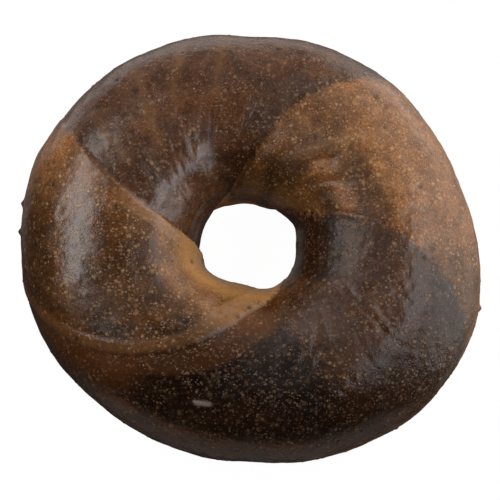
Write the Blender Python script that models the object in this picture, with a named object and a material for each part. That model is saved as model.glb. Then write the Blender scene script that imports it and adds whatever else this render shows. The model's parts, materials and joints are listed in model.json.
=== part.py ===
"""A marbled bagel: one ring of bread, rolled from a rope of dark and light dough that was twisted
together, boiled and baked. It lies on its flat base. Metres, +Z up, the base at z = 0.

Run it with: blender --background --python part.py
"""

import math

import bmesh
import bpy
from mathutils import Vector

MM = 0.001

# The ring seen from above, at evenly spaced angles counterclockwise from +X, in millimetres from
# the middle of the hole. A hand-rolled rope is never quite even, so each station differs a little.
HOLE_EDGE_MM = (11.5, 12, 11, 10, 10.5, 10.5, 11.5, 11.5, 11.5, 12, 11, 10.5, 10.5, 12, 12, 12)
OUTER_EDGE_MM = (55, 53, 53, 52.5, 51.5, 53.5, 55, 56, 55, 55, 53.5, 52, 52.5, 55, 57.5, 58)
CREST_HEIGHT_MM = (38, 37, 36.5, 37, 38, 37, 37.5, 38.5)

# The section across the rope, as shares of the crest's height and of the rope's half width.
WIDEST_AT = 0.44  # the level of the rope's widest line
FLAT_SHARE = 0.46  # how much of the width sat flat on the baking board
FULLNESS = 2.2  # 2 is an ellipse; more makes the dome plumper

# The twist: two doughs side by side, so that the rope is slightly oval and the oval turns with it.
TWIST_TURNS = 2
TWIST_START = math.radians(36)  # where the first seam crosses the ring's outermost line
OVAL_SHARE = 0.012

STEPS_AROUND = 96
STEPS_ACROSS = 36
GUIDE_RADIUS = 3.0  # of the plain ring that is spun first, whose section has a radius of 1


def clear_scene():
    for obj in list(bpy.data.objects):
        bpy.data.objects.remove(obj, do_unlink=True)


def around(stations, angle):
    """The value at an angle on the closed, smooth (Catmull-Rom) curve through even stations."""
    count = len(stations)
    place = (angle / math.tau % 1.0) * count
    index = int(place)
    t = place - index
    before, start, end, after = (stations[(index + step) % count] for step in (-1, 0, 1, 2))
    leaving = (end - before) / 2
    arriving = (after - start) / 2
    return (
        start * (2 * t**3 - 3 * t**2 + 1)
        + leaving * (t**3 - 2 * t**2 + t)
        + end * (3 * t**2 - 2 * t**3)
        + arriving * (t**3 - t**2)
    )


def rounded(value, power):
    """A sine or cosine bent towards a superellipse."""
    return math.copysign(abs(value) ** (2 / power), value)


def section_point(turn, half_width, height):
    """A point of the rope's section: turn 0 is its outermost point, a quarter turn its crest, a
    half turn the hole's wall, and three quarters the middle of the flat base."""
    widest = WIDEST_AT * height
    across, up = math.cos(turn), math.sin(turn)
    if up >= 0:
        return (
            half_width * rounded(across, FULLNESS),
            widest + (height - widest) * rounded(up, FULLNESS),
        )
    past_flat = max(0.0, (abs(across) - FLAT_SHARE) / (1 - FLAT_SHARE))
    return half_width * across, widest * (1 - math.sqrt(1 - past_flat**2))


def swelling(angle, turn):
    """How much the turning oval widens the rope here, as a factor. Its narrow sides hold the seams."""
    phase = turn - TWIST_TURNS * (angle - TWIST_START)
    return 1 - OVAL_SHARE * math.cos(2 * phase)


def ring_point(angle, turn):
    """The place of one point of the crust."""
    inner = around(HOLE_EDGE_MM, angle) * MM
    outer = around(OUTER_EDGE_MM, angle) * MM
    height = around(CREST_HEIGHT_MM, angle) * MM
    swell = swelling(angle, turn)
    across, up = section_point(turn, (outer - inner) / 2 * swell, height)
    if up > WIDEST_AT * height:
        up = WIDEST_AT * height + (up - WIDEST_AT * height) * swell
    radius = (inner + outer) / 2 + across
    return Vector((radius * math.cos(angle), radius * math.sin(angle), up))


def spin_guide_ring():
    """A plain ring: a circle of radius 1, stood upright and spun about the hole's axis."""
    ring = bmesh.new()
    circle = bmesh.ops.create_circle(ring, segments=STEPS_ACROSS, radius=1.0)
    for vert in circle["verts"]:
        vert.co = Vector((GUIDE_RADIUS + vert.co.x, 0.0, vert.co.y))
    bmesh.ops.spin(
        ring,
        geom=ring.verts[:] + ring.edges[:],
        cent=(0, 0, 0),
        axis=(0, 0, 1),
        angle=math.tau,
        steps=STEPS_AROUND,
        use_merge=True,
    )
    bmesh.ops.remove_doubles(ring, verts=ring.verts[:], dist=1e-4)
    return ring


def shape_bagel(ring):
    """Moves every point of the plain ring to its place on the bagel, centred on its own box."""
    for vert in ring.verts:
        angle = math.atan2(vert.co.y, vert.co.x)
        turn = math.atan2(vert.co.z, math.hypot(vert.co.x, vert.co.y) - GUIDE_RADIUS)
        vert.co = ring_point(angle, turn)
    middle_x, middle_y = (
        (min(v.co[axis] for v in ring.verts) + max(v.co[axis] for v in ring.verts)) / 2
        for axis in (0, 1)
    )
    bmesh.ops.translate(ring, verts=ring.verts[:], vec=(-middle_x, -middle_y, 0))
    bmesh.ops.recalc_face_normals(ring, faces=ring.faces[:])


def crust_material():
    material = bpy.data.materials.new("marbled_crust")
    material.use_nodes = True
    surface = material.node_tree.nodes["Principled BSDF"]
    surface.inputs["Base Color"].default_value = (0.13, 0.062, 0.028, 1.0)
    surface.inputs["Roughness"].default_value = 0.4
    surface.inputs["Metallic"].default_value = 0.0
    return material


def make_bagel():
    ring = spin_guide_ring()
    shape_bagel(ring)
    mesh = bpy.data.meshes.new("bagel")
    ring.to_mesh(mesh)
    ring.free()
    mesh.shade_smooth()
    mesh.materials.append(crust_material())
    bagel = bpy.data.objects.new("bagel", mesh)
    bpy.context.scene.collection.objects.link(bagel)
    return bagel


clear_scene()
make_bagel()
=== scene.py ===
# %% [markdown]
# # A marbled bagel
#
# A bagel is a rope of dough closed to a ring, boiled for a minute and then baked. This one was
# rolled from two ropes, a dark dough and a light one, twisted round each other before the ends were
# joined. The boiling gives a thin, tight, shiny skin, and the oven raises hundreds of tiny blisters
# in it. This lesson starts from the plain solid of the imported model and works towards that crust:
# first its shape, then its colours, then its gloss.

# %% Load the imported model
import json
import math

import bmesh
import bpy
import numpy as np
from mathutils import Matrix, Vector, kdtree, noise


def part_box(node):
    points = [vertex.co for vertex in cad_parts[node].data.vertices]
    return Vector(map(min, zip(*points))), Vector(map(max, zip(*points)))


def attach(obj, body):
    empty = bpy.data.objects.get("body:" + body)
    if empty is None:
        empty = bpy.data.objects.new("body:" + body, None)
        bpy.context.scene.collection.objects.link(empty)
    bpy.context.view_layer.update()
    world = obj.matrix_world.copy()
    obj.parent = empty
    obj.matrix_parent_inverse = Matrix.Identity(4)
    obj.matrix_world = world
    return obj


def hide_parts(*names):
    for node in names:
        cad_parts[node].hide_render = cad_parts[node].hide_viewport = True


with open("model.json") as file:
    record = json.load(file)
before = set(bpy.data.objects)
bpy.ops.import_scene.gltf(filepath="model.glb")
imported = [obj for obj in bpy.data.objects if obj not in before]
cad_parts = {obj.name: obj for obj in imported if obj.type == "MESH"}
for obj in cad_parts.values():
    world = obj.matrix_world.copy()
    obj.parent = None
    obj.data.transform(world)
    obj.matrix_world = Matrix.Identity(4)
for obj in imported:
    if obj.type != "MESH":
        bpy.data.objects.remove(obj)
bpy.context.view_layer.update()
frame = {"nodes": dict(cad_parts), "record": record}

MM = 0.001
cad_low, cad_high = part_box("bagel")
cad_size = cad_high - cad_low
print("the plain bagel measures", [round(side / MM, 1) for side in cad_size], "mm")

# %% [markdown]
# ## The camera
#
# The bagel lies on a table and is seen from almost straight above, so its camera stands at a steep
# angle. A long lens from a good distance keeps the ring's near and far sides the same size. A
# camera looks along its own -Z axis, so the direction back to the camera becomes its +Z.

# %% Place the camera
CAMERA_ELEVATION = math.radians(82)
CAMERA_DISTANCE = 0.405
WIDEST_SHARE = 0.44  # the level of the rope's widest line, as a share of its height
AIM_SHIFT = 0.7 * MM  # from the bagel's middle towards its front

middle = (cad_low + cad_high) / 2
aim = Vector((middle.x, middle.y - AIM_SHIFT, cad_low.z + WIDEST_SHARE * cad_size.z))
towards_camera = Vector((0, -math.cos(CAMERA_ELEVATION), math.sin(CAMERA_ELEVATION)))

camera = bpy.data.objects.new("camera", bpy.data.cameras.new("camera"))
camera.data.lens = 120
camera.data.sensor_width = 36
camera.data.clip_start = 0.02
camera.location = aim + towards_camera * CAMERA_DISTANCE
camera.rotation_euler = towards_camera.to_track_quat("Z", "Y").to_euler()
bpy.context.scene.collection.objects.link(camera)
bpy.context.scene.camera = camera
print("the camera stands", round(camera.location.z, 3), "m above the table")

# %% [markdown]
# ## Dough to sculpt
#
# The plain solid is made of facets a few millimetres wide, loose from each other. A copy of it is
# merged, rounded by a Subdivision Surface, and then rebuilt by a voxel Remesh into small, even
# squares. Remeshing is how a sculptor gets fresh clay: every later step can push single points
# without caring how the first mesh was laid out. A few rounds of smoothing take out the small
# steps that voxels leave.

# %% Remesh a copy of the plain solid
VOXEL = 0.53 * MM
SMOOTHING_ROUNDS = 6

clay = bmesh.new()
clay.from_mesh(frame["nodes"]["bagel"].data)
bmesh.ops.remove_doubles(clay, verts=clay.verts[:], dist=0.01 * MM)
plain_mesh = bpy.data.meshes.new("plain_bagel")
clay.to_mesh(plain_mesh)
clay.free()

plain = bpy.data.objects.new("plain_bagel", plain_mesh)
bpy.context.scene.collection.objects.link(plain)
rounding = plain.modifiers.new("rounding", "SUBSURF")
rounding.levels = rounding.render_levels = 2
remesh = plain.modifiers.new("remesh", "REMESH")
remesh.mode = "VOXEL"
remesh.voxel_size = VOXEL
depsgraph = bpy.context.evaluated_depsgraph_get()
crust_mesh = bpy.data.meshes.new_from_object(plain.evaluated_get(depsgraph))
bpy.data.objects.remove(plain)

clay = bmesh.new()
clay.from_mesh(crust_mesh)
for _ in range(SMOOTHING_ROUNDS):
    bmesh.ops.smooth_vert(
        clay, verts=clay.verts[:], factor=0.5, use_axis_x=True, use_axis_y=True, use_axis_z=True
    )
clay.to_mesh(crust_mesh)
clay.free()


def read_vectors(collection, field, count):
    """A mesh's vectors as a numpy array with one row for each."""
    values = np.zeros(count * 3, np.float32)
    collection.foreach_get(field, values)
    return values.reshape(-1, 3).astype(float)


point_count = len(crust_mesh.vertices)
rest = read_vectors(crust_mesh.vertices, "co", point_count)
normals = read_vectors(crust_mesh.vertex_normals, "vector", point_count)
print(point_count, "points,", len(crust_mesh.polygons), "squares")

# %% [markdown]
# ## Finding the way round the ring
#
# A twisted rope is easier to describe in its own terms than in X, Y and Z. Two angles name every
# place on the crust. The *way round* is the direction from the middle of the hole, counterclockwise
# from +X. The *turn* goes round the rope's section: 0 is its outermost line, 90 its crest, 180 the
# wall of the hole, and 270 the middle of the base, which is also -90. The rope isn't even, so its
# width and height are measured in narrow sectors and read off between them.

# %% Measure the rope and give every point its two angles
SECTORS = 72
hole_low, hole_high = (Vector(c) for c in frame["record"]["physics"]["openings"][0]["box_m"])
hole_middle = (hole_low + hole_high) / 2

from_hole = rest[:, :2] - np.array(hole_middle.xy)
distance = np.hypot(from_hole[:, 0], from_hole[:, 1])
way_round = np.degrees(np.arctan2(from_hole[:, 1], from_hole[:, 0])) % 360

sector_middles = (np.arange(SECTORS) + 0.5) * 360 / SECTORS
sector_points = [np.flatnonzero(way_round * SECTORS // 360 == s) for s in range(SECTORS)]
inner = np.interp(way_round, sector_middles, [distance[s].min() for s in sector_points], period=360)
outer = np.interp(way_round, sector_middles, [distance[s].max() for s in sector_points], period=360)
crest = np.interp(way_round, sector_middles, [rest[s, 2].max() for s in sector_points], period=360)

widest = WIDEST_SHARE * crest
across = (distance - (inner + outer) / 2) / ((outer - inner) / 2)
up = (rest[:, 2] - widest) / np.where(rest[:, 2] > widest, crest - widest, widest)
turn = (np.degrees(np.arctan2(up, across)) + 90) % 360 - 90
print("the rope is", np.round((outer - inner).min() / MM, 1), "to",
      np.round((outer - inner).max() / MM, 1), "mm wide")

# %% [markdown]
# ## Where the two doughs meet
#
# Each seam winds over the rope and under it again, and it comes up as the next seam but one: two
# full twists make two seam lines, which show as four seams on top. A seam is given by its way round
# at seven places over the top, every 30 degrees of turn from the outermost line to the hole's wall.
# Underneath, it runs evenly from the end of one seam to the start of the next. A smooth curve
# through such stations is a Catmull-Rom curve.

# %% Draw the seams
STATION_STEP = 30
BACK_RIGHT = (36, 48, 59, 71.5, 84.5, 105, 131)
BACK_LEFT = (144, 148, 152, 159, 168, 182, 196)
FRONT_LEFT = (189, 201, 219, 238, 262, 295, 318)
RIGHT = (324, 338, 348.5, 361, 371, 384, 402)


def underneath(start, end):
    """The five stations of a seam between the hole's wall and the rope's outermost line."""
    return tuple(start + (end - start) * step / 6 for step in range(1, 6))


def seam_line(first, second):
    """One seam line's stations on its way twice round the rope and once round the ring."""
    return np.array(
        first
        + underneath(first[-1], second[0])
        + second
        + underneath(second[-1], first[0] + 360)
    )


def along(stations, place, lap=0.0):
    """A closed Catmull-Rom curve through the stations, which grows by lap each time round."""
    count = len(stations)
    index = np.floor(place).astype(int)
    t = place - index
    before, start, end, after = (
        stations[(index + step) % count] + lap * ((index + step) // count)
        for step in (-1, 0, 1, 2)
    )
    leaving, arriving = (end - before) / 2, (after - start) / 2
    return (
        start * (2 * t**3 - 3 * t**2 + 1)
        + leaving * (t**3 - 2 * t**2 + t)
        + end * (3 * t**2 - 2 * t**3)
        + arriving * (t**3 - t**2)
    )


line_one = seam_line(BACK_RIGHT, FRONT_LEFT)
line_two = seam_line(BACK_LEFT, RIGHT)


def seam_ways(at_turn):
    """The way round of the four seams at a turn: back right, back left, front left and right."""
    place = at_turn / STATION_STEP
    return (
        along(line_one, place, 360),
        along(line_two, place, 360),
        along(line_one, place + 12, 360),
        along(line_two, place + 12, 360),
    )


ROPE_RADIUS = 20 * MM  # of the rope's section, near enough to turn degrees into lengths


def seam_distances():
    """Each point's distance from each seam, in metres, positive counterclockwise of the seam."""
    ahead, behind = seam_ways(turn + 1), seam_ways(turn - 1)
    found = []
    for way, after, before in zip(seam_ways(turn), ahead, behind):
        gap = (way_round - way + 180) % 360 - 180
        slant = distance * (after - before) / 2 / ROPE_RADIUS
        found.append(np.radians(gap) * distance / np.sqrt(1 + slant**2))
    return found


past_back_right, past_back_left, past_front_left, past_right = seam_distances()
light_side = np.maximum(
    np.minimum(past_back_left, -past_front_left), np.minimum(past_right, -past_back_right)
)
print("light dough on", round(100 * float((light_side > 0).mean())), "% of the crust")

# %% [markdown]
# ## Noise that follows the rope
#
# Twisting stretches the skin, so its fine wrinkles run along the seams. To draw them, each point
# also gets a place on the rope in millimetres: how far it is across the strands, counted in
# quarters of the ring from seam to seam, and how far along them. Noise that is squeezed across the
# strands and stretched along them then looks like drawn dough.

# %% Give every point its place on the rope
QUARTER_WIDTH = 48  # millimetres, a quarter of the ring along its crest
MM_PER_DEGREE = math.radians(ROPE_RADIUS / MM)

ways = seam_ways(turn)
from_right = (way_round - ways[3]) % 360
stops = [np.zeros(point_count)] + [(ways[i] - ways[3]) % 360 for i in range(3)] + [360.0]
strand = np.zeros(point_count)
for quarter in range(4):
    start, end = stops[quarter], stops[quarter + 1]
    inside = (from_right >= start) & (from_right <= end)
    strand[inside] = quarter + ((from_right - start) / (end - start))[inside]
grain = np.column_stack([strand * QUARTER_WIDTH, turn * MM_PER_DEGREE, np.zeros(point_count)])
print("the strands span", round(float(strand.max()), 2), "quarters")


NOISE_GAIN = 1.6  # Perlin noise by itself keeps well inside -1 to 1
SEED_SHIFT = np.array([7.3, 3.1, 5.7])


def noise_at(places, size, seed):
    """Perlin noise from about -1 to 1 whose bumps are about as wide as size (one number, or one
    for each axis). Each seed is a different noise."""
    lattice = places / np.array(size, float) + SEED_SHIFT * seed
    return np.array([noise.noise(Vector(place)) for place in lattice]) * NOISE_GAIN


def smooth_step(value, low, high):
    """0 below low, 1 above high, and a smooth rise between them."""
    t = np.clip((value - low) / (high - low), 0, 1)
    return t * t * (3 - 2 * t)


def window(value, low, high, fade):
    """1 between low and high, fading to 0 over a distance on both sides."""
    return smooth_step(value, low - fade, low) * (1 - smooth_step(value, high, high + fade))


# %% [markdown]
# ## Folds at the seams
#
# Where the doughs meet, one rolls over the other. The crust steps down at such a seam, sharply on
# the side of the fold and gently beyond it. Each fold is a small formula of the distance from the
# seam, and it is strongest near the hole, where the twist is tightest.

# %% Raise the folds
def overlap(past, height, drop, reach, edge=0.5 * MM):
    """A step at a seam: the side where past is positive lies over the other one."""
    side = smooth_step(past, -edge, edge)
    raised = side * height * np.exp(-np.clip(past, 0, None) / reach)
    sunk = (1 - side) * drop * np.exp(np.clip(past, None, 0) / reach)
    return raised - sunk


BANK_SHARE = 0.35  # the more, the narrower a furrow's valley and the higher its banks


def furrow(past, depth, width):
    """A narrow valley along a line, with a slightly raised bank on both sides."""
    near = (past / width) ** 2
    return depth * (BANK_SHARE * near - 1) * np.exp(-near)


relief = np.zeros(point_count)
near_hole = smooth_step(turn, 85, 140) * (1 - smooth_step(turn, 185, 215))
on_top = window(turn, 5, 175, 25)
away_from_hole = (on_top - near_hole).clip(0)

relief += overlap(past_back_left, height=0.9 * MM, drop=1.0 * MM, reach=6 * MM) * near_hole
relief += overlap(past_back_left, height=0.25 * MM, drop=0.1 * MM, reach=4 * MM) * away_from_hole
relief += overlap(past_back_right, height=0.5 * MM, drop=0.7 * MM, reach=6 * MM) * near_hole
relief += furrow(past_back_right, depth=0.6 * MM, width=1.2 * MM) * near_hole
relief += furrow(past_back_right, depth=0.12 * MM, width=1.0 * MM) * on_top
relief += furrow(past_right, depth=0.5 * MM, width=1.4 * MM) * near_hole
relief += overlap(-past_right, height=0.35 * MM, drop=0.2 * MM, reach=5 * MM) * near_hole
relief += furrow(past_right, depth=0.1 * MM, width=1.2 * MM) * on_top
print("the folds span", np.round(relief.min() / MM, 2), "to", np.round(relief.max() / MM, 2), "mm")

# %% [markdown]
# The front seam has a raised lip instead: the light dough was stretched thin there and curled up a
# little. In front of it a second, fainter step shows where the light dough shines through a thin
# layer of the dark one. That step has stations of its own.

# %% Raise the lip of the front seam and the faint step in front of it
FAINT_STEP = (201, 214, 231, 262, 287, 308, 322)
LIP_WIDTH = 2.2  # millimetres, and twice that towards the hole
LIP_HEIGHT = 0.26 * MM
faint_line = np.array(FAINT_STEP, float)


def faint_step_way(at_turn):
    """The way round of the faint step, over the top only."""
    place = np.clip(at_turn / STATION_STEP, 0, 5.999)
    return along(np.append(faint_line, faint_line[-1] + 6), place)


gap = (way_round - faint_step_way(turn) + 180) % 360 - 180
slant = distance * (faint_step_way(turn + 1) - faint_step_way(turn - 1)) / 2 / ROPE_RADIUS
past_faint_step = np.radians(gap) * distance / np.sqrt(1 + slant**2)

lip_width = (LIP_WIDTH + LIP_WIDTH * smooth_step(turn, 92, 125)) * MM
lip = window(past_front_left, -lip_width, -0.3 * MM, 1.0 * MM) * window(turn, 20, 165, 25)
relief += LIP_HEIGHT * lip * (0.7 + 0.7 * smooth_step(turn, 60, 120))
lip_step = overlap(-past_front_left, height=0.05 * MM, drop=0.22 * MM, reach=4 * MM, edge=MM)
relief += lip_step * window(turn, 20, 160, 20)
faint_step = overlap(-past_faint_step, height=0.12 * MM, drop=0.15 * MM, reach=3 * MM)
relief += faint_step * window(turn, 80, 150, 20)
print("the relief so far spans", np.round(relief.min() / MM, 2), "to",
      np.round(relief.max() / MM, 2), "mm")

# %% [markdown]
# ## Unevenness and stretched skin
#
# Noise does the rest of the broad modelling, as it is quicker than sculpting by hand and just as
# irregular. It makes the lumps from the hands that rolled the rope, the streaks where the twist
# drew the skin out, and a fine leathery surface all over. Where each of them shows is given by
# regions of the two angles, with soft edges.

# %% Add lumps and streaks
def region(way_low, way_high, way_fade, turn_low, turn_high, turn_fade):
    """1 inside a patch of the crust, given by its two angles, fading out around it."""
    centre = (way_low + way_high) / 2
    offset = (way_round - centre + 180) % 360 - 180
    half = (way_high - way_low) / 2
    return window(offset, -half, half, way_fade) * window(turn, turn_low, turn_high, turn_fade)


LUMPS = ((0.38, 17, 1), (0.13, 7, 2))  # height and size in millimetres, and the noise's seed
STREAKS = (
    # height, size across and along the strands, in millimetres, and the noise's seed
    (0.07, (1.7, 8, 1), 3),
    (0.05, (1.0, 4, 1), 4),
)
BROAD_STREAKS = (0.18, (5, 26, 1), 5)
LEATHER = ((0.05, 2.6, 6), (0.035, 1.3, 9))
SWOLLEN_SHOULDER = 0.8 * MM  # of the rope beside the hole, on the left

drawn_back = region(78, 150, 12, 96, 150, 18)
drawn_right = region(5, 75, 12, 70, 150, 20)
drawn_front = 0.38 * region(290, 345, 14, 50, 100, 20)
drawn = np.clip(0.07 * on_top + drawn_back + 0.35 * drawn_right + drawn_front, 0, 1)
drawn *= smooth_step(np.abs(past_right), 0.3 * MM, 1.5 * MM)

relief += SWOLLEN_SHOULDER * region(128, 236, 14, 123, 145, 18)
for height, size, seed in LUMPS:
    relief += height * MM * noise_at(rest / MM, size, seed) * (0.4 + 0.6 * on_top)
for height, size, seed in STREAKS:
    relief += height * MM * noise_at(grain, size, seed) * drawn
height, size, seed = BROAD_STREAKS
relief += height * MM * noise_at(grain, size, seed) * (0.7 * drawn_right + 0.35 * drawn_back)
for height, size, seed in LEATHER:
    relief += height * MM * noise_at(rest / MM, size, seed)
print("drawn skin on", round(100 * float((drawn > 0.2).mean())), "% of the crust")

# %% [markdown]
# ## Creases
#
# A crease is a short line pressed into the skin. Each is given by the two angles of its start, its
# middle and its end, and how deep and wide it is. To measure distances from it on the real surface,
# its path is laid through the nearest points of the crust, and a k-d tree finds the nearest place
# on that path.

# %% Press in the creases
CREASES = (
    # way round and turn: start, middle, end; depth and width in millimetres
    ((331, 114), (325, 94), (322, 60), 0.36, 0.6),
    ((336, 104), (329, 90), (326, 74), 0.20, 0.45),
    ((326, 112), (321, 96), (323, 78), 0.22, 0.45),
    ((322, 100), (314, 84), (313, 62), 0.20, 0.5),
    ((313, 118), (306, 96), (309, 70), 0.24, 0.5),
    ((305, 108), (304, 94), (299, 82), 0.10, 0.35),
    ((330, 84), (324, 74), (325, 58), 0.18, 0.45),
    ((341, 92), (337, 84), (336, 70), 0.12, 0.4),
    ((300, 108), (296, 94), (297, 76), 0.14, 0.45),
    ((54, 122), (42, 105), (31, 80), 0.34, 0.8),
    ((66, 136), (52, 116), (36, 102), 0.18, 0.7),
    ((40, 128), (28, 112), (16, 98), 0.16, 0.7),
    ((128, 96), (131, 84), (133, 70), 0.22, 0.6),
    ((119, 70), (118, 64), (118, 56), 0.20, 0.6),
)
CREASE_WAVER = 0.7 * MM  # how far a crease strays from its smooth path
PATH_STEPS = 60
WAY_CIRCLE = 100  # the radius of the circle that the ways round are laid on


def angle_place(way, at):
    """The two angles as a place, so that 359 degrees of way round lie next to 0."""
    around = math.radians(way)
    return math.cos(around) * WAY_CIRCLE, math.sin(around) * WAY_CIRCLE, at


angle_tree = kdtree.KDTree(point_count)
for index, (way, at) in enumerate(zip(way_round, turn)):
    angle_tree.insert(angle_place(way, at), index)
angle_tree.balance()


def crust_point(way, at):
    """The place in space of the crust's point that is nearest to two angles."""
    _, index, _ = angle_tree.find(angle_place(way, at))
    return rest[index]


def path_profile(start, middle, end):
    """Each point's distance from a curved path, and how far along the path it is, from 0 to 1."""
    shares = np.linspace(0, 1, PATH_STEPS)
    bend = (1 - shares) ** 2, 2 * shares * (1 - shares), shares**2
    centre = 2 * np.array(middle) - (np.array(start) + np.array(end)) / 2
    angles = bend[0][:, None] * start + bend[1][:, None] * centre + bend[2][:, None] * end
    path = np.array([crust_point(way, at) for way, at in angles])
    kernel = np.array([1, 2, 3, 2, 1]) / 9
    padded = np.pad(path, ((2, 2), (0, 0)), mode="edge")
    path = np.column_stack([np.convolve(padded[:, axis], kernel, "valid") for axis in range(3)])
    nearest = np.full(point_count, 1.0)
    share = np.zeros(point_count)
    for step, place in zip(shares, path):
        away = np.linalg.norm(rest - place, axis=1)
        closer = away < nearest
        nearest[closer] = away[closer]
        share[closer] = step
    return nearest, share


def taper(share, power):
    """1 in the middle of a path, and less towards both of its ends."""
    return np.sin(np.pi * np.clip(share, 0.02, 0.98)) ** power


waver = noise_at(rest / MM, 3.0, seed=11)
for start, middle_of_it, end, depth, width in CREASES:
    away, share = path_profile(start, middle_of_it, end)
    away = np.abs(away + CREASE_WAVER * waver)
    relief += furrow(away, depth * MM, width * MM) * taper(share, 0.6)
print(len(CREASES), "creases pressed in")

# %% [markdown]
# ## Blisters, pits and crumbs
#
# Cold, slow-risen dough traps carbon dioxide under its skin, and boiling swells it to blisters like
# fish eyes. The larger ones are real bumps here. They are scattered with a fixed random seed, more
# of them on the front and the right. Where a bubble burst, it left a pit with a low rim. Some pits
# have places given in a list and the others are strewn, and a few burnt crumbs stand up on the
# outline. A second k-d tree finds the points of the crust that one bump has to raise.

# %% Scatter the blisters, the pits and the crumbs
BLISTERS = 900
BLISTER_RADIUS = (0.4, 0.65)  # millimetres, from the smallest to the largest
BLISTER_RISE = 0.22  # its height as a share of its radius
PITS = (
    (110, 47), (81, 48), (131, 72), (119, 90), (120, 58), (128, 61), (24, 44), (98, 82),
    (139, 84), (62, 64), (352, 74), (337, 66), (300, 34), (232, 44), (166, 52), (15, 66),
)
STRAY_PITS = 26
PIT_RADIUS = (0.55, 0.85)
PIT_DEPTH = 0.5  # as a share of its radius
RIM_SPREAD = 1.7  # how much wider the rim is than its pit
RIM_HEIGHT = 0.12 * MM
CRUMBS = (
    # way round, turn and height in millimetres
    (170, 8, 0.6), (177, 8, 0.75), (344, 6, 0.7), (308, 10, 0.5), (298, 12, 0.6), (36, 26, 0.4),
)
CRUMB_RADIUS = 1.0 * MM
DOME_STEEPNESS = 1.8
DOME_REACH = 2.2  # radii, past which a bump is too low to matter

rng = np.random.default_rng(7)
blister = np.zeros(point_count)
pit = np.zeros(point_count)
crumb = np.zeros(point_count)

crust_tree = kdtree.KDTree(point_count)
for index, place in enumerate(rest):
    crust_tree.insert(place, index)
crust_tree.balance()


def raise_dome(centre, radius, height, mask=None):
    """Adds a round bump (or with a negative height, a dent) to the relief, and marks it."""
    for _, index, away in crust_tree.find_range(centre, radius * DOME_REACH):
        profile = math.exp(-((away / radius) ** 2) * DOME_STEEPNESS)
        relief[index] += height * profile
        if mask is not None:
            mask[index] = max(mask[index], profile)


front_thick = region(235, 345, 25, 10, 165, 20)
odds = 0.25 + 0.75 * np.clip(front_thick + 0.8 * drawn_right, 0, 1)
odds *= window(turn, -20, 175, 25)
chosen = rng.choice(point_count, size=BLISTERS, replace=False, p=odds / odds.sum())
for index in chosen:
    size = rng.uniform(*BLISTER_RADIUS)
    raise_dome(rest[index], size * MM, BLISTER_RISE * size * MM, blister)

stray = rng.choice(np.flatnonzero(on_top > 0.5), size=STRAY_PITS, replace=False)
stray_angles = [(way_round[index], turn[index]) for index in stray]
for way, at in PITS + tuple(stray_angles):
    size = rng.uniform(*PIT_RADIUS)
    centre = crust_point(way, at)
    raise_dome(centre, RIM_SPREAD * size * MM, RIM_HEIGHT)
    raise_dome(centre, size * MM, -PIT_DEPTH * size * MM, pit)

for way, at, height in CRUMBS:
    raise_dome(crust_point(way, at), CRUMB_RADIUS, height * MM, crumb)
print(BLISTERS, "blisters,", len(PITS) + STRAY_PITS, "pits and", len(CRUMBS), "crumbs")

# %% [markdown]
# ## A fold, a flake and some smears
#
# Beside one crease on the right, the light dough was pushed up to a low, rounded fold. Its crest is
# later coloured paler, partly paler skin and partly a painted highlight where the fold catches the
# lamps. It follows a path as the creases do, but stands up instead of lying deep.

# %% Raise the fold on the light dough
FOLD_PATH = ((63, 125), (47, 100), (37, 64))
FOLD_HEIGHT = 0.30 * MM
FOLD_HALF_WIDTH = 1.3 * MM
FOLD_WAVER = 0.5 * MM

away, share = path_profile(*FOLD_PATH)
fold_ridge = np.exp(-((away + FOLD_WAVER * waver) / FOLD_HALF_WIDTH) ** 2)
fold_ridge *= taper(share, 0.5)
relief += FOLD_HEIGHT * fold_ridge
print("the fold covers", int((fold_ridge > 0.5).sum()), "points")

# %% [markdown]
# One flake of bran is baked onto the front. It is too small for a mesh of its own, so it is a flat
# little rise of the crust, and its mark later gives it the colour of bran. The fourth power keeps
# its top level and its edge steep.

# %% Lay the flake of bran on the front
FLAKE_PATH = ((252.5, 62), (255, 63), (257.5, 64))
FLAKE_HALF_WIDTH = 0.55 * MM
FLAKE_HEIGHT = 0.3 * MM

away, share = path_profile(*FLAKE_PATH)
flake = np.exp(-((away / FLAKE_HALF_WIDTH) ** 4))
relief += FLAKE_HEIGHT * flake
print("the flake covers", int((flake > 0.5).sum()), "points")

# %% [markdown]
# Where the ropes were pressed together, some of the light dough came off on the dark one. These
# smears have colour and no height, so their paths only make a mask for the material.

# %% Follow the smears of lighter dough
SMEARS = (
    # way round and turn: start, middle, end; half width in millimetres
    ((124, 42), (127, 66), (138, 112), 1.5),
    ((109, 34), (112, 56), (121, 84), 1.2),
    ((98, 40), (99, 58), (104, 82), 0.9),
    ((143, 60), (147, 82), (152, 104), 0.8),
)
SMEAR_WAVER = 0.4 * MM

smear = np.zeros(point_count)
for start, middle_of_it, end, half_width in SMEARS:
    away, share = path_profile(start, middle_of_it, end)
    across_it = np.exp(-((away + SMEAR_WAVER * waver) / (half_width * MM)) ** 2)
    smear = np.maximum(smear, across_it * taper(share, 0.5))
print(len(SMEARS), "smears")

# %% [markdown]
# ## Moving the points
#
# All of this was added up as one height for each point, so the mesh is moved once, along its
# normals. The base stays flat, because the bagel baked on a board: nothing there may reach below
# the level that it lies on.

# %% Move the points and flatten the base
BOARD_TEXTURE = 0.06 * MM

base = smooth_step(-normals[:, 2], 0.75, 0.97) * (rest[:, 2] < cad_low.z + 3 * MM)
moved = rest + normals * (relief * (1 - 0.9 * base))[:, None]
board_marks = BOARD_TEXTURE * (1 + noise_at(rest / MM, 1.6, seed=8)) * base
moved[:, 2] = np.maximum(moved[:, 2] + board_marks, cad_low.z)
crust_mesh.vertices.foreach_set("co", moved.astype(np.float32).ravel())
crust_mesh.update()
print("the crust now measures", np.round((moved.max(0) - moved.min(0)) / MM, 1), "mm")

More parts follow.
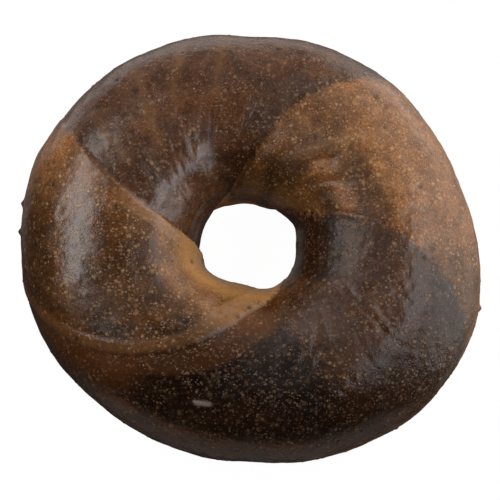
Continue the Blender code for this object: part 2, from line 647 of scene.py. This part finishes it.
# %% [markdown]
# ## What the finish needs to know
#
# The crust's colours depend on where a point is on the rope, so what was measured above is stored
# on the mesh as attributes, one number for each point. A material can read these by name. The
# distance from the seams is stored in millimetres and not as light or dark, so that the material
# can break up the edge with noise that is finer than the mesh.

# %% Store the edges of the doughs and the place on the rope
def store(name, values):
    attribute = crust_mesh.attributes.new(name, "FLOAT", "POINT")
    attribute.data.foreach_set("value", values.astype(np.float32))


brown_band = np.minimum(past_front_left, -past_faint_step) / MM
brown_band = np.where(window(turn, 72, 165, 10) > 0.5, brown_band, past_front_left / MM)
# golden places on the wall of the hole: partly less baked dough, partly painted light where the
# wall faces the lamps
unbaked_and_lit = np.clip(
    window(turn, 150, 235, 22) * region(175, 292, 18, -90, 270, 1)
    + 0.55 * window(turn, 152, 235, 20),
    0,
    1,
)
seam_blur = 0.5 + 2.2 * (1 - smooth_step(turn, 15, 55)) + 0.6 * region(180, 260, 20, 0, 90, 20)
seam_blur += 0.8 * region(140, 175, 12, 30, 105, 14)
# a pale strip on the rolled edge of the back-left seam near the hole: partly paler skin, partly a
# painted highlight
pale_fold_and_highlight = window(past_back_left, 0.6 * MM, 2.6 * MM, 1.2 * MM) * window(turn, 108, 158, 16)

store("light_side", light_side / MM)
store("seam_blur", seam_blur)
store("past_front_seam", past_front_left / MM)
store("brown_band", brown_band)
store("lip", lip)
store("lip_paleness", smooth_step(turn, 98, 138))
store("pale_fold_and_highlight", np.maximum(pale_fold_and_highlight, 0.6 * fold_ridge))
store("unbaked_and_lit", unbaked_and_lit)
rope_place = crust_mesh.attributes.new("rope_place", "FLOAT_VECTOR", "POINT")
rope_place.data.foreach_set("vector", grain.astype(np.float32).ravel())
# the golden share is partly less baked crust and partly painted light
print("golden, less baked crust on", round(100 * float((unbaked_and_lit > 0.5).mean())), "% of the bagel")

# %% [markdown]
# ## Browning, painted light and painted shade
#
# The colour is made darker or lighter in patches. Some of this is uneven browning from the oven,
# and some is painted light and shade: painted shade on the walls of the hole and where the crust
# slopes down into it, a painted sheen on the crest at the back, and a painted reflection of the
# bright table on the lower rims at the back and the front. The front is made much darker and the
# back lighter. Each patch is a region of the two angles with a factor for the colour, and where
# patches overlap their factors multiply. Slow noise keeps their edges from showing. Just behind the
# lip the crust is darker, and the lip and the brown band before it change less.

# %% Brown the crust and paint light and shade on it in patches
BROWNING_AND_SHADING_PATCHES = (
    # way round: from, to, fade; turn: from, to, fade; how much lighter or darker the crust is
    (68, 150, 14, -30, 84, 26, 1.35),
    # painted reflection of the bright table on the lower back side
    (30, 150, 14, -70, 10, 12, 1.8),
    (52, 86, 10, 76, 138, 14, 0.58),
    # painted shade on the wall of the hole at the back
    (66, 112, 10, 142, 175, 10, 0.40),
    # painted sheen: lighter on the crest at the back
    (90, 132, 12, 80, 114, 10, 1.28),
    (96, 156, 14, 66, 122, 14, 0.78),
    # painted shade where the back slopes down into the hole
    (88, 130, 12, 124, 150, 10, 0.75),
    (122, 165, 14, 124, 175, 14, 1.5),
    (238, 288, 18, 48, 106, 14, 0.20),
    (246, 284, 10, 74, 92, 8, 0.68),
    (290, 322, 12, 40, 96, 12, 0.68),
    # painted reflection of the bright table on the lower front rim
    (236, 312, 16, -30, 14, 10, 1.6),
    (6, 46, 7, 92, 104, 7, 0.64),
    (16, 44, 8, 114, 138, 8, 1.5),
    (188, 240, 14, 68, 114, 12, 0.60),
    (254, 290, 10, 134, 165, 10, 0.8),
    (298, 345, 14, 24, 72, 14, 0.60),
    (290, 322, 10, 108, 130, 10, 0.78),
    (14, 50, 12, 30, 88, 12, 1.15),
    (338, 390, 12, 96, 126, 10, 0.66),
    (175, 214, 16, 74, 112, 14, 0.50),
    (150, 178, 10, 60, 84, 8, 0.75),
    (180, 222, 10, 22, 74, 10, 0.66),
    (336, 354, 8, 22, 60, 12, 0.75),
    (172, 195, 10, 5, 50, 12, 0.45),
    # painted shade on the wall of the hole at the right
    (330, 430, 14, 127, 190, 12, 0.38),
)
UNEVEN_BAKE = 0.12
DARKER_BEHIND_LIP = 0.38

browning_and_painted_shading = np.ones(point_count)
for *patch, factor in BROWNING_AND_SHADING_PATCHES:
    browning_and_painted_shading *= 1 + (factor - 1) * region(*patch)
browning_and_painted_shading *= 1 + UNEVEN_BAKE * noise_at(rest / MM, 6, seed=10)
behind_lip = window(-past_front_left, lip_width + 1.4 * MM, lip_width + 3.4 * MM, 1.8 * MM)
browning_and_painted_shading *= 1 - DARKER_BEHIND_LIP * behind_lip * window(turn, 48, 104, 14)
brown_skin = smooth_step(np.minimum(past_front_left, -past_faint_step), 0, 1.5 * MM)
brown_skin *= window(turn, 62, 112, 14)
browning_and_painted_shading = 1 + (browning_and_painted_shading - 1) * (1 - 0.55 * lip) * (1 - 0.33 * brown_skin)
store("browning_and_painted_shading", browning_and_painted_shading)
print(len(BROWNING_AND_SHADING_PATCHES), "baked patches, from", round(float(browning_and_painted_shading.min()), 2), "to",
      round(float(browning_and_painted_shading.max()), 2))

# %% [markdown]
# ## Dull skin and glazed skin
#
# The gloss is as uneven as the colour. Where the skin tore or dried it is dull, and where the
# starch from the boiling set thickly it has a clear glaze. Both are sums of soft patches: the first
# will raise the roughness and the second will set how much coat the skin has.

# %% Spread the dull and the glazed patches
DULL_PATCHES = (
    # way round: from, to, fade; turn: from, to, fade; how dull
    (318, 418, 14, 96, 128, 12, 1.0),
    (334, 378, 12, 25, 95, 14, 0.5),
    (112, 166, 12, 100, 145, 12, 0.35),
    (150, 205, 14, 30, 90, 14, 0.1),
    (274, 316, 10, 82, 120, 12, 0.9),
    (50, 80, 8, 92, 118, 10, 0.6),
    (200, 222, 8, 56, 86, 8, 0.5),
    (172, 236, 10, 112, 150, 12, 0.9),
    (355, 425, 14, 15, 64, 12, 0.5),
    (62, 118, 14, 60, 120, 14, 0.5),
    (128, 158, 10, 58, 98, 10, 0.6),
)
GLAZE_PATCHES = (
    (120, 166, 10, 112, 146, 10, 1.0),
    (335, 372, 12, 58, 88, 12, 0.3),
    (172, 236, 10, 118, 146, 10, 0.25),
    (0, 75, 14, 68, 86, 8, 0.3),
    (150, 205, 14, 30, 90, 14, 0.4),
)


def patchwork(patches):
    """The sum of several regions, each with its own strength."""
    return sum(strength * region(*patch) for *patch, strength in patches)


behind_seam = smooth_step(-past_front_left, 0, 2 * MM)
dull = patchwork(DULL_PATCHES) + 0.5 * region(206, 240, 10, 58, 92, 12) * behind_seam
dull *= 1 - 0.8 * lip
glaze = np.clip(patchwork(GLAZE_PATCHES), 0, 1)

store("dull", dull)
store("glaze", glaze)
print(len(DULL_PATCHES), "dull patches and", len(GLAZE_PATCHES), "glazed ones")

# %% [markdown]
# ## Where the specks crowd
#
# The fine blisters are left to the material, but it has to know where there are many of them: most
# are on the front and on the two sides. The marks of the large blisters, the pits, the crumbs, the
# flake and the smears are stored too, and so is the dry base.

# %% Store the marks of the fine surface
flecked_left = 0.8 * region(150, 235, 20, 70, 135, 20)
flecked_right = 0.7 * region(8, 78, 15, 25, 140, 20)
crowd = 0.4 * on_top + front_thick + 0.8 * drawn_right + flecked_left + flecked_right

store("crowd", np.clip(crowd, 0, 1))
store("drawn", drawn)
store("blister", blister)
store("pit", pit)
store("crumb", crumb)
store("flake", flake)
store("smear", smear)
store("base", base)
store("low_on_side", 1 - smooth_step(turn, -75, -30) * (1 - smooth_step(turn, 205, 240)))
print(len(crust_mesh.attributes), "attributes on the mesh")

# %% [markdown]
# ## Fewer faces underneath
#
# The top of the crust needs all its points, and the underside doesn't. A Decimate modifier merges
# points where a vertex group is heaviest, here below the rope's widest line, until the whole piece
# is light enough to share. It keeps the attributes.

# %% Thin out the underside
MOST_TRIANGLES = 196_000

bagel = bpy.data.objects.new("bagel_crust", crust_mesh)
bpy.context.scene.collection.objects.link(bagel)
underside = bagel.vertex_groups.new(name="underside")
below = smooth_step(-np.sin(np.radians(turn)), 0.1, 0.5)
for index in np.flatnonzero(below > 0.01):
    underside.add([int(index)], float(below[index]), "REPLACE")
thinning = bagel.modifiers.new("thinning", "DECIMATE")
thinning.ratio = MOST_TRIANGLES / (2 * len(crust_mesh.polygons))
thinning.vertex_group = underside.name
thinning.vertex_group_factor = 10
thinned = bpy.data.meshes.new_from_object(
    bagel.evaluated_get(bpy.context.evaluated_depsgraph_get())
)
bagel.modifiers.clear()
bagel.vertex_groups.clear()
bagel.data = thinned
thinned.name = "bagel_crust"
thinned.shade_smooth()
bpy.data.meshes.remove(crust_mesh)
print(sum(len(face.vertices) - 2 for face in thinned.polygons), "triangles")

# %% [markdown]
# ## Building a material from nodes
#
# The crust is one material. Its nodes read the stored attributes, add patterns of their own that
# are finer than the mesh, and feed one Principled BSDF. It could also be painted by hand on an
# image, but nodes stay sharp at any distance and need no unwrapping. A few small helpers keep the
# steps short.

# %% Helpers for the nodes
crust = bpy.data.materials.new("marbled_crust")
crust.use_nodes = True
nodes, links = crust.node_tree.nodes, crust.node_tree.links
surface = nodes["Principled BSDF"]
on_object = nodes.new("ShaderNodeTexCoord").outputs["Object"]


def plug(socket, value):
    """Links an output to a socket, or sets the socket to a number or a colour."""
    if isinstance(value, bpy.types.NodeSocket):
        links.new(value, socket)
    else:
        socket.default_value = value


def stored(name, output="Fac"):
    node = nodes.new("ShaderNodeAttribute")
    node.attribute_name = name
    return node.outputs[output]


def calculate(operation, *values):
    node = nodes.new("ShaderNodeMath")
    node.operation = operation
    for socket, value in zip(node.inputs, values):
        plug(socket, value)
    return node.outputs["Value"]


def product(first, *others):
    for other in others:
        first = calculate("MULTIPLY", first, other)
    return first


def total(first, *others):
    for other in others:
        first = calculate("ADD", first, other)
    return first


def rise(value, low, high, to_low=0.0, to_high=1.0):
    """A smooth rise from to_low to to_high as the value goes from low to high."""
    node = nodes.new("ShaderNodeMapRange")
    node.interpolation_type = "SMOOTHSTEP"
    for socket, setting in zip(node.inputs, (value, low, high, to_low, to_high)):
        plug(socket, setting)
    return node.outputs["Result"]


def blend(share, first, second, mode="MIX"):
    node = nodes.new("ShaderNodeMix")
    node.data_type = "RGBA"
    node.blend_type = mode
    plug(node.inputs[0], share)
    plug(node.inputs[6], first)
    plug(node.inputs[7], second)
    return node.outputs[2]


def tinted(colour, tint):
    """A colour multiplied by another one, which may be brighter than white."""
    return blend(1.0, colour, tint, "MULTIPLY")


def scaled(place, size):
    """Coordinates in which one unit is as long as size, one number or one for each axis."""
    node = nodes.new("ShaderNodeMapping")
    sizes = size if isinstance(size, tuple) else (size, size, size)
    node.inputs["Scale"].default_value = [1 / side for side in sizes]
    links.new(place, node.inputs["Vector"])
    return node.outputs["Vector"]


def noise_pattern(size, detail=2.0, roughness=0.5, place=None):
    node = nodes.new("ShaderNodeTexNoise")
    node.inputs["Scale"].default_value = 1.0
    node.inputs["Detail"].default_value = detail
    node.inputs["Roughness"].default_value = roughness
    links.new(scaled(on_object if place is None else place, size), node.inputs["Vector"])
    return node.outputs["Fac"]


print("the material starts with", len(nodes), "nodes")

# %% [markdown]
# ## Light dough, dark dough
#
# The distance from the seams becomes light or dark dough through a narrow smooth step. Noise of two
# sizes moves the edge to and fro, as the two doughs smear into each other. A slow mottling shifts
# each dough between two of its colours, and small patches and a fine grain darken and lighten both.

# %% Colour the two doughs
LIGHT_DOUGH = (0.255, 0.098, 0.026, 1)
LIGHT_DOUGH_TAN = (0.288, 0.127, 0.042, 1)
DARK_DOUGH = (0.088, 0.033, 0.011, 1)
DARK_DOUGH_PLUM = (0.092, 0.040, 0.019, 1)
BROWN_DOUGH = (0.150, 0.052, 0.012, 1)
SMEARED_DOUGH = (0.185, 0.088, 0.030, 1)
# golden: partly less baked dough, partly painted light on the wall of the hole
GOLDEN_DOUGH = (0.640, 0.320, 0.105, 1)
TAN_LIP = (0.165, 0.078, 0.029, 1)
# also on the folds, where it is partly a painted highlight
PALE_LIP = (0.48, 0.255, 0.115, 1)
FINE_WOBBLE = 4.2  # millimetres that a seam's edge moves from the noise's lowest to its highest
BROAD_WOBBLE = 2.6


def centred(pattern):
    """A pattern that lies evenly about 0 and not about a half."""
    return calculate("SUBTRACT", pattern, 0.5)


wobble = total(
    product(centred(noise_pattern(0.8 * MM, 3.0, 0.65)), FINE_WOBBLE),
    product(centred(noise_pattern(4.5 * MM, 2.0)), BROAD_WOBBLE),
)
edge = calculate("DIVIDE", total(stored("light_side"), wobble), stored("seam_blur"))
lightness = rise(edge, -1.0, 1.0)

streak = noise_pattern((0.9, 9.0, 1.0), 2.0, 0.6, stored("rope_place", "Vector"))
mottle = noise_pattern(9 * MM, 3.0, 0.55)
fine_mottle = noise_pattern(1.6 * MM, 3.0, 0.6)
skin_grain = noise_pattern(0.42 * MM, 2.0, 0.7)

light_dough = blend(rise(mottle, 0.35, 0.68), LIGHT_DOUGH, LIGHT_DOUGH_TAN)
dark_dough = blend(rise(mottle, 0.4, 0.65), DARK_DOUGH, DARK_DOUGH_PLUM)
plain_doughs = blend(lightness, dark_dough, light_dough)

PATCH_TINTS = (0.76, 0.74, 0.72, 1), (1.26, 1.26, 1.26, 1)
GRAIN_TINTS = (0.62, 0.60, 0.58, 1), (1.32, 1.34, 1.36, 1)
STREAK_TINTS = (0.45, 0.42, 0.40, 1), (1.5, 1.55, 1.6, 1)
patches = noise_pattern(3.4 * MM, 2.0, 0.55)
patched = tinted(plain_doughs, blend(rise(patches, 0.3, 0.7), *PATCH_TINTS))
doughs = tinted(patched, blend(rise(skin_grain, 0.34, 0.66), *GRAIN_TINTS))
print(len(nodes), "nodes after the two doughs")

# %% [markdown]
# In front of the front seam the dark dough is thin, and the light one shines through it as a
# reddish brown band. The lip of that seam saw less of the oven's heat, so it stays tan. The wall of
# the hole is golden: partly dough that saw less heat, and partly painted light where the wall faces
# the lamps. The smears and the folds get their colours here as well, and the pale strips of the
# folds are partly paler skin and partly a painted highlight on their rolled edges. Each of these
# is one more layer over the last, and noise breaks up most of their edges. Streaks along the
# strands come last, where the skin was drawn.

# %% Add the brown band, the lip, and the golden wall with its painted light
BAND_STRENGTH = 0.85
GOLDEN_STRENGTH = 0.9
STREAK_STRENGTH = 0.75

band_edge = total(stored("brown_band"), product(wobble, 0.6))
fade_out = rise(stored("past_front_seam"), 3.0, 13.0, 1.0, 0.0)
band_share = product(rise(band_edge, -0.6, 0.9), fade_out, BAND_STRENGTH)
banded = blend(band_share, doughs, BROWN_DOUGH)

smear_share = product(stored("smear"), rise(fine_mottle, 0.3, 0.6, 0.25, 0.7))
smeared = blend(smear_share, banded, SMEARED_DOUGH)

lip_share = product(stored("lip"), rise(fine_mottle, 0.3, 0.6, 0.35, 0.85))
with_lip = blend(lip_share, smeared, blend(stored("lip_paleness"), TAN_LIP, PALE_LIP))
# pale strips on the folds: partly paler skin, partly a painted highlight
fold_share = product(stored("pale_fold_and_highlight"), rise(fine_mottle, 0.3, 0.65, 0.25, 0.8))
with_fold = blend(fold_share, with_lip, PALE_LIP)
# golden: partly less baked dough, partly painted light on the wall of the hole
golden_share = product(stored("unbaked_and_lit"), lightness, GOLDEN_STRENGTH)
with_golden = blend(golden_share, with_fold, GOLDEN_DOUGH)

streak_share = product(stored("drawn"), STREAK_STRENGTH)
streaked = blend(streak_share, with_golden, tinted(with_golden, blend(streak, *STREAK_TINTS)))
print(len(nodes), "nodes after the band, the lip and the streaks")

# %% [markdown]
# ## Fish-eye blisters
#
# Most blisters are smaller than the mesh can hold: pale specks a quarter of a millimetre to a
# millimetre across. A Voronoi pattern gives each cell one speck, and the cell's own random colour
# decides whether it is there, how large it is and how strongly it shows. Three sizes are laid over
# each other, and they colour the crust and raise it. The tiny pores between them are made the same
# way, but are dark and deep. The colour of all of them comes in clusters and is fainter on the lip.

# %% Sprinkle the fine blisters and the pores
def bent(place, size, amount):
    """Coordinates pushed about by noise, so that a round pattern on them turns out ragged."""
    node = nodes.new("ShaderNodeTexNoise")
    node.inputs["Scale"].default_value = 1.0
    node.inputs["Detail"].default_value = 1.0
    links.new(scaled(place, size), node.inputs["Vector"])
    push = nodes.new("ShaderNodeVectorMath")
    push.operation = "MULTIPLY_ADD"
    links.new(node.outputs["Color"], push.inputs[0])
    push.inputs[1].default_value = (amount, amount, amount)
    links.new(place, push.inputs[2])
    return push.outputs["Vector"]


ragged = bent(on_object, 0.7 * MM, 0.55 * MM)


def specks(cell, largest, least_chance):
    """Ragged specks, one at most in each cell: how strongly a place lies on one."""
    node = nodes.new("ShaderNodeTexVoronoi")
    node.inputs["Scale"].default_value = 1.0
    links.new(scaled(ragged, cell), node.inputs["Vector"])
    split = nodes.new("ShaderNodeSeparateColor")
    links.new(node.outputs["Color"], split.inputs["Color"])
    chance = total(split.outputs["Red"], product(stored("crowd"), 0.4))
    there = rise(chance, least_chance, least_chance + 0.3)
    radius = total(product(split.outputs["Green"], largest), largest * 0.3)
    inside = calculate("DIVIDE", node.outputs["Distance"], radius)
    strength = rise(split.outputs["Blue"], 0.0, 1.0, 0.4, 1.0)
    return product(there, strength, rise(inside, 0.3, 1.0, 1.0, 0.0))


dust_specks = specks(0.62 * MM, 0.46, 0.58)
fine_specks = specks(1.05 * MM, 0.46, 0.58)
large_specks = specks(1.60 * MM, 0.38, 0.72)
all_specks = calculate("MAXIMUM", calculate("MAXIMUM", dust_specks, fine_specks), large_specks)
raised_specks = calculate("MAXIMUM", all_specks, product(stored("blister"), 0.35))
clusters = rise(noise_pattern(5 * MM, 2.0, 0.6), 0.36, 0.62, 0.4, 1.0)
off_base = calculate("SUBTRACT", 1.0, stored("base"))
showing = product(clusters, off_base, rise(stored("lip"), 0.0, 1.0, 1.0, 0.45))
pores = product(specks(1.25 * MM, 0.22, 0.45), showing)
print(len(nodes), "nodes after the specks and the pores")

# %% [markdown]
# ## Baking and finishing the colour
#
# The stored browning, with its painted light and shade, multiplies the colour of the doughs. The
# pale specks go over it, as their thin skin browns less, but they are dimmer where the crust is
# darkest, so the painted shade dims them too. Pores, pits and crumbs are burnt, and the flake is
# bran.

# %% Brown and shade the doughs and lay the specks over them
SPECK_STRENGTH = 0.8
PORE_STRENGTH = 0.6
PIT_STRENGTH = 0.85
FLAKE_STRENGTH = 0.8
PALE_ON_DARK = (0.35, 0.195, 0.088, 1)
PALE_ON_LIGHT = (0.66, 0.385, 0.16, 1)
BURNT = (0.012, 0.007, 0.004, 1)
BRAN = (0.30, 0.25, 0.20, 1)

browned_and_shaded = nodes.new("ShaderNodeVectorMath")
browned_and_shaded.operation = "SCALE"
links.new(streaked, browned_and_shaded.inputs[0])
links.new(stored("browning_and_painted_shading"), browned_and_shaded.inputs["Scale"])
pale_speck = blend(lightness, PALE_ON_DARK, PALE_ON_LIGHT)
less_where_dark = rise(stored("browning_and_painted_shading"), 0.15, 0.75, 0.65, 1.0)
speck_share = product(raised_specks, showing, SPECK_STRENGTH, less_where_dark)
speckled = blend(speck_share, browned_and_shaded.outputs["Vector"], pale_speck)
porous = blend(product(pores, PORE_STRENGTH), speckled, BURNT)
pitted = blend(product(stored("pit"), PIT_STRENGTH), porous, BURNT)
crumbed = blend(stored("crumb"), pitted, BURNT)
flaked = blend(product(stored("flake"), FLAKE_STRENGTH), crumbed, BRAN)
print(len(nodes), "nodes after the specks' colours")

# %% [markdown]
# ## The base
#
# The base lay on the board and stayed dry, so it is matt and paler, dusted with what was on the
# board, and the swirl shows on it only faintly.

# %% Colour the base
FLOURY_BASE = (0.36, 0.22, 0.11, 1)
FLOUR_ON_SIDES = 0.25

dust = rise(noise_pattern(2.2 * MM, 4.0, 0.65), 0.42, 0.62, 0.25, 0.8)
with_base = blend(product(stored("base"), dust), flaked, FLOURY_BASE)
finished = blend(product(stored("low_on_side"), FLOUR_ON_SIDES), with_base, FLOURY_BASE)
plug(surface.inputs["Base Color"], finished)
print("the colour takes", len(nodes), "nodes")

# %% [markdown]
# ## Gloss and the fine surface
#
# The boiled skin is glossy, but finely grained like leather, so its highlights are soft and
# broken. The grain, the streaks and the specks go into one Bump node as a height in millimetres.
# Roughness varies a little with the mottling and rises on the dull patches, and the base is matt.
# A clear coat lies where the starch left a glaze. The coat's roughness and the skin's index of
# refraction are the same all over, so they are set on the shader itself.

# %% Finish the surface
GRAIN_HEIGHT = 0.045  # these five are in millimetres
MOTTLE_HEIGHT = 0.10
SPECK_HEIGHT = 0.08
PORE_DEPTH = 0.08
STREAK_HEIGHT = 0.08
GLOSSIEST, LEAST_GLOSSY = 0.19, 0.26  # the roughness of clean skin, which follows the mottling
DULL_ROUGHNESS = 0.16  # which a fully dull patch adds
BASE_ROUGHNESS = 0.8

height = total(
    product(skin_grain, GRAIN_HEIGHT),
    product(fine_mottle, MOTTLE_HEIGHT),
    product(all_specks, SPECK_HEIGHT),
    product(pores, -PORE_DEPTH),
    product(streak, stored("drawn"), STREAK_HEIGHT),
)
bump = nodes.new("ShaderNodeBump")
bump.inputs["Distance"].default_value = MM
plug(bump.inputs["Height"], height)
plug(surface.inputs["Normal"], bump.outputs["Normal"])

skin_roughness = rise(mottle, 0.3, 0.7, GLOSSIEST, LEAST_GLOSSY)
duller = total(skin_roughness, product(stored("dull"), DULL_ROUGHNESS))
plug(surface.inputs["Roughness"], rise(stored("base"), 0.0, 1.0, duller, BASE_ROUGHNESS))
surface.inputs["IOR"].default_value = 1.5
plug(surface.inputs["Coat Weight"], stored("glaze"))
surface.inputs["Coat Roughness"].default_value = 0.22
bagel.data.materials.clear()
bagel.data.materials.append(crust)
print(len(nodes), "nodes in the crust")

# %% [markdown]
# ## The sweep
#
# The bagel lies on a plain white sweep: a floor that curves up to a wall all round, as in a studio
# for small things, so that no edge or horizon shows from any side. Its outline is spun about the
# vertical axis. It glows by itself, which keeps it white, and it is hidden from the rays that
# light the bagel, so that a glossy crust doesn't turn milky from a bright floor below it.

# %% Lay the sweep
SWEEP_FLOOR = 1.6  # metres from the middle to where the floor starts to rise
SWEEP_CURVE = 1.2  # the radius of its curve
SWEEP_HEIGHT = 3.0
SWEEP_GLOW = 0.98

CURVE_STEPS = 12
SWEEP_SIDES = 64

sheet = bmesh.new()
floor_level = cad_low.z - 0.1 * MM
outline = [sheet.verts.new((0, 0, floor_level))]
for step in range(CURVE_STEPS + 1):
    lift = math.radians(90 * step / CURVE_STEPS)
    outline.append(sheet.verts.new((
        SWEEP_FLOOR + SWEEP_CURVE * math.sin(lift),
        0,
        floor_level + SWEEP_CURVE * (1 - math.cos(lift)),
    )))
outline.append(sheet.verts.new((SWEEP_FLOOR + SWEEP_CURVE, 0, floor_level + SWEEP_HEIGHT)))
for start, end in zip(outline, outline[1:]):
    sheet.edges.new((start, end))
bmesh.ops.spin(
    sheet, geom=sheet.verts[:] + sheet.edges[:], cent=(0, 0, 0), axis=(0, 0, 1),
    angle=math.tau, steps=SWEEP_SIDES, use_merge=True,
)
bmesh.ops.remove_doubles(sheet, verts=sheet.verts[:], dist=0.1 * MM)
bmesh.ops.recalc_face_normals(sheet, faces=sheet.faces[:])
sweep_mesh = bpy.data.meshes.new("sweep")
sheet.to_mesh(sweep_mesh)
sheet.free()
sweep_mesh.shade_smooth()
sweep = bpy.data.objects.new("sweep", sweep_mesh)
bpy.context.scene.collection.objects.link(sweep)
sweep.visible_diffuse = False
sweep.visible_glossy = False
sweep.visible_shadow = False
white = bpy.data.materials.new("white_sweep")
white.use_nodes = True
white_surface = white.node_tree.nodes["Principled BSDF"]
white_surface.inputs["Base Color"].default_value = (0.05, 0.05, 0.05, 1)
white_surface.inputs["Roughness"].default_value = 0.9
white_surface.inputs["Specular IOR Level"].default_value = 0.1
white_surface.inputs["Emission Color"].default_value = (1, 1, 1, 1)
white_surface.inputs["Emission Strength"].default_value = SWEEP_GLOW
white.cycles.emission_sampling = "NONE"
sweep_mesh.materials.append(white)
print("the sweep is", 2 * (SWEEP_FLOOR + SWEEP_CURVE), "m across")

# %% [markdown]
# ## Light
#
# Five soft boxes and a dim surrounding light the bagel. The large one stands low at the right and
# gives most of the light, so that side is bright and the others fall off. Two boxes fill in from
# the back and from high up. A strip on the left draws the long, crisp highlight down the left of
# the ring, and one on the right draws the cooler ones. The rim of a glossy crust also mirrors the
# bright table beside it. The sweep is hidden from such rays, so four dim boxes below the floor line
# stand for the table. An area light shines along its own -Z axis.

# %% Set up the soft boxes
WHITE = (1, 1, 1)
SOFT_BOXES = (
    # name; direction and elevation; distance, width and depth in metres; watts; colour
    ("key_light", 18, 6, 0.45, 0.90, 0.66, 2.6, WHITE),
    ("back_light", 100, 14, 0.60, 0.70, 0.36, 0.27, WHITE),
    ("high_light", 50, 52, 0.60, 0.70, 0.30, 0.33, WHITE),
    ("right_strip", -14, 56, 0.50, 0.38, 0.18, 0.46, (1, 0.97, 1)),
    ("left_strip", 161, 49, 0.50, 0.36, 0.22, 1.09, (1, 0.93, 0.90)),
    ("back_floor_glow", 94, -22, 0.35, 0.85, 0.22, 0.5, WHITE),
    ("right_floor_glow", 18, -42, 0.35, 0.50, 0.20, 0.07, WHITE),
    ("front_floor_glow", 268, -32, 0.35, 0.60, 0.26, 0.07, WHITE),
    ("back_low_glow", 94, -60, 0.35, 0.85, 0.24, 0.08, WHITE),
)


def soft_box(name, direction, elevation, away, width, depth, watts, colour):
    """A soft box that faces the bagel. Direction is counterclockwise from +X, in degrees."""
    level, around = math.radians(elevation), math.radians(direction)
    towards = Vector((
        math.cos(around) * math.cos(level), math.sin(around) * math.cos(level), math.sin(level)
    ))
    light = bpy.data.objects.new(name, bpy.data.lights.new(name, "AREA"))
    light.data.shape = "RECTANGLE"
    light.data.size = width
    light.data.size_y = depth
    light.data.energy = watts
    light.data.color = colour
    light.visible_camera = False
    light.location = aim + towards * away
    light.rotation_euler = towards.to_track_quat("Z", "Y").to_euler()
    bpy.context.scene.collection.objects.link(light)


for settings in SOFT_BOXES:
    soft_box(*settings)
print(len(SOFT_BOXES), "soft boxes")

# %% Dim the surroundings
SURROUNDINGS = 0.025
world = bpy.data.worlds.new("dim_surroundings")
world.use_nodes = True
world.node_tree.nodes["Background"].inputs["Color"].default_value = (1, 1, 1, 1)
world.node_tree.nodes["Background"].inputs["Strength"].default_value = SURROUNDINGS
bpy.context.scene.world = world
bpy.context.scene.view_settings.view_transform = "Standard"
print("the surroundings glow at", SURROUNDINGS)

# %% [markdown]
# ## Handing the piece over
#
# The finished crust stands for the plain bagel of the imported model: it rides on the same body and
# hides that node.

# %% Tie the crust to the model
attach(bagel, "root")
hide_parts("bagel")
